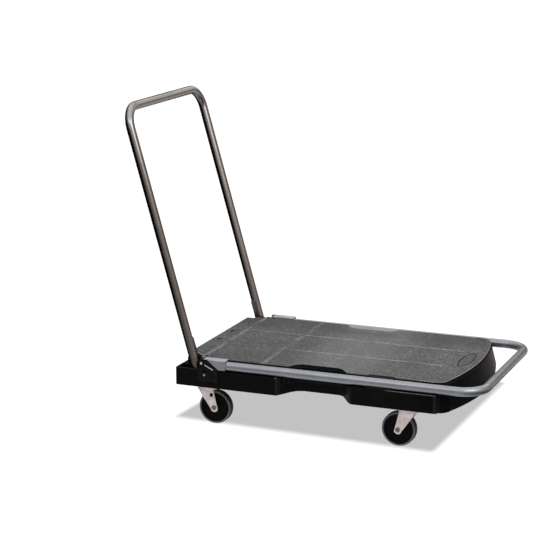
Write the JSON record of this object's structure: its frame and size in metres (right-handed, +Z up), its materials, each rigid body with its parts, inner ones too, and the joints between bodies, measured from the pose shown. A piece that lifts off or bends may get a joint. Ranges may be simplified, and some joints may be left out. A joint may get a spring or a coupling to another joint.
{
  "type": "platform utility trolley",
  "caption": "Low platform trolley with a moulded deck, tubular perimeter rail, swivel casters and a U-shaped push handle that folds flat or leans back.",
  "frame": {"origin": "on the floor, under the middle of the overall box with the handle upright", "axes": "+X towards the nose (front), +Y to the left side, +Z up"},
  "size_m": [1.0112, 0.529, 0.8643],
  "materials": {
    "black_moulding": "satin moulded structural foam",
    "grey_deck": "fine moulded grain",
    "rail_steel": "satin silver powder coat",
    "handle_bronze": "satin dark bronze lacquer",
    "saddle_steel": "pressed zinc-plated sheet",
    "black_steel": "black powder coat",
    "black_plastic": "moulded",
    "zinc_steel": "bright zinc plate",
    "caster_zinc": "pressed sheet, warm zinc plate",
    "axle_steel": "dulled, slightly browned zinc plate",
    "spring_steel": "oiled spring steel",
    "dark_screw": "black oxide",
    "nylon": "natural nylon",
    "tyre_rubber": "grey-black non-marking rubber",
    "wheel_plastic": "black moulded core"
  },
  "bodies": {
    "platform": {"base_body": "black_moulding", "bracket_screws": "dark_screw", "caster_bolts": "zinc_steel", "caster_kingpins": "zinc_steel", "deck_panel": "grey_deck", "deck_screws": "dark_screw", "front_left_top_plate": "caster_zinc", "front_right_top_plate": "caster_zinc", "hinge_bracket_left": "black_steel", "hinge_bracket_right": "black_steel", "latch_springs": "spring_steel", "perimeter_rail": "rail_steel", "pivot_bolts": "zinc_steel", "pivot_nuts": "zinc_steel", "pivot_spacers": "zinc_steel", "rail_keepers": "black_plastic", "rail_saddle_left": "saddle_steel", "rail_saddle_right": "saddle_steel", "rear_left_top_plate": "caster_zinc", "rear_right_top_plate": "caster_zinc", "saddle_screws": "saddle_steel"},
    "handle": {"handle_tube": "handle_bronze", "handle_pivot_plate_left": "handle_bronze", "handle_pivot_plate_right": "handle_bronze", "handle_rivets": "handle_bronze", "handle_pivot_bushes": "nylon", "handle_end_plugs": "black_plastic"},
    "latch": {"latch_rod": "zinc_steel", "latch_pedal": "black_steel"},
    "rear_right_swivel": {"rear_right_fork": "caster_zinc", "rear_right_swivel_balls": "spring_steel", "rear_right_axle_bolt": "axle_steel", "rear_right_axle_nut": "zinc_steel", "rear_right_axle_sleeve": "zinc_steel"},
    "rear_right_wheel": {"rear_right_wheel_core": "wheel_plastic", "rear_right_tyre": "tyre_rubber"},
    "rear_left_swivel": {"rear_left_fork": "caster_zinc", "rear_left_swivel_balls": "spring_steel", "rear_left_axle_bolt": "axle_steel", "rear_left_axle_nut": "zinc_steel", "rear_left_axle_sleeve": "zinc_steel"},
    "rear_left_wheel": {"rear_left_wheel_core": "wheel_plastic", "rear_left_tyre": "tyre_rubber"},
    "front_right_swivel": {"front_right_fork": "caster_zinc", "front_right_swivel_balls": "spring_steel", "front_right_axle_bolt": "axle_steel", "front_right_axle_nut": "zinc_steel", "front_right_axle_sleeve": "zinc_steel"},
    "front_right_wheel": {"front_right_wheel_core": "wheel_plastic", "front_right_tyre": "tyre_rubber"},
    "front_left_swivel": {"front_left_fork": "caster_zinc", "front_left_swivel_balls": "spring_steel", "front_left_axle_bolt": "axle_steel", "front_left_axle_nut": "zinc_steel", "front_left_axle_sleeve": "zinc_steel"},
    "front_left_wheel": {"front_left_wheel_core": "wheel_plastic", "front_left_tyre": "tyre_rubber"}
  },
  "joints": [
    {"name": "handle_fold", "type": "hinge", "parent": "platform", "child": "handle", "pos_m": [-0.2679, 0, 0.1845], "axis": [0, 1, 0], "range_deg": [-36.1, 106.09]},
    {"name": "latch_lift", "type": "slide", "parent": "platform", "child": "latch", "axis": [0, 0, 1], "range_m": [0, 0.009], "deforming": ["latch_springs"]},
    {"name": "rear_right_swivel_turn", "type": "hinge", "parent": "platform", "child": "rear_right_swivel", "pos_m": [-0.2814, -0.189, 0.1], "axis": [0, 0, 1], "continuous": true},
    {"name": "rear_right_wheel_spin", "type": "hinge", "parent": "rear_right_swivel", "child": "rear_right_wheel", "pos_m": [-0.2569, -0.189, 0.046], "axis": [0, 1, 0], "continuous": true},
    {"name": "rear_left_swivel_turn", "type": "hinge", "parent": "platform", "child": "rear_left_swivel", "pos_m": [-0.2814, 0.189, 0.1], "axis": [0, 0, 1], "continuous": true},
    {"name": "rear_left_wheel_spin", "type": "hinge", "parent": "rear_left_swivel", "child": "rear_left_wheel", "pos_m": [-0.2569, 0.189, 0.046], "axis": [0, 1, 0], "continuous": true},
    {"name": "front_right_swivel_turn", "type": "hinge", "parent": "platform", "child": "front_right_swivel", "pos_m": [0.2881, -0.189, 0.1], "axis": [0, 0, 1], "continuous": true},
    {"name": "front_right_wheel_spin", "type": "hinge", "parent": "front_right_swivel", "child": "front_right_wheel", "pos_m": [0.2636, -0.189, 0.046], "axis": [0, 1, 0], "continuous": true},
    {"name": "front_left_swivel_turn", "type": "hinge", "parent": "platform", "child": "front_left_swivel", "pos_m": [0.2881, 0.189, 0.1], "axis": [0, 0, 1], "continuous": true},
    {"name": "front_left_wheel_spin", "type": "hinge", "parent": "front_left_swivel", "child": "front_left_wheel", "pos_m": [0.2636, 0.189, 0.046], "axis": [0, 1, 0], "continuous": true}
  ]
}
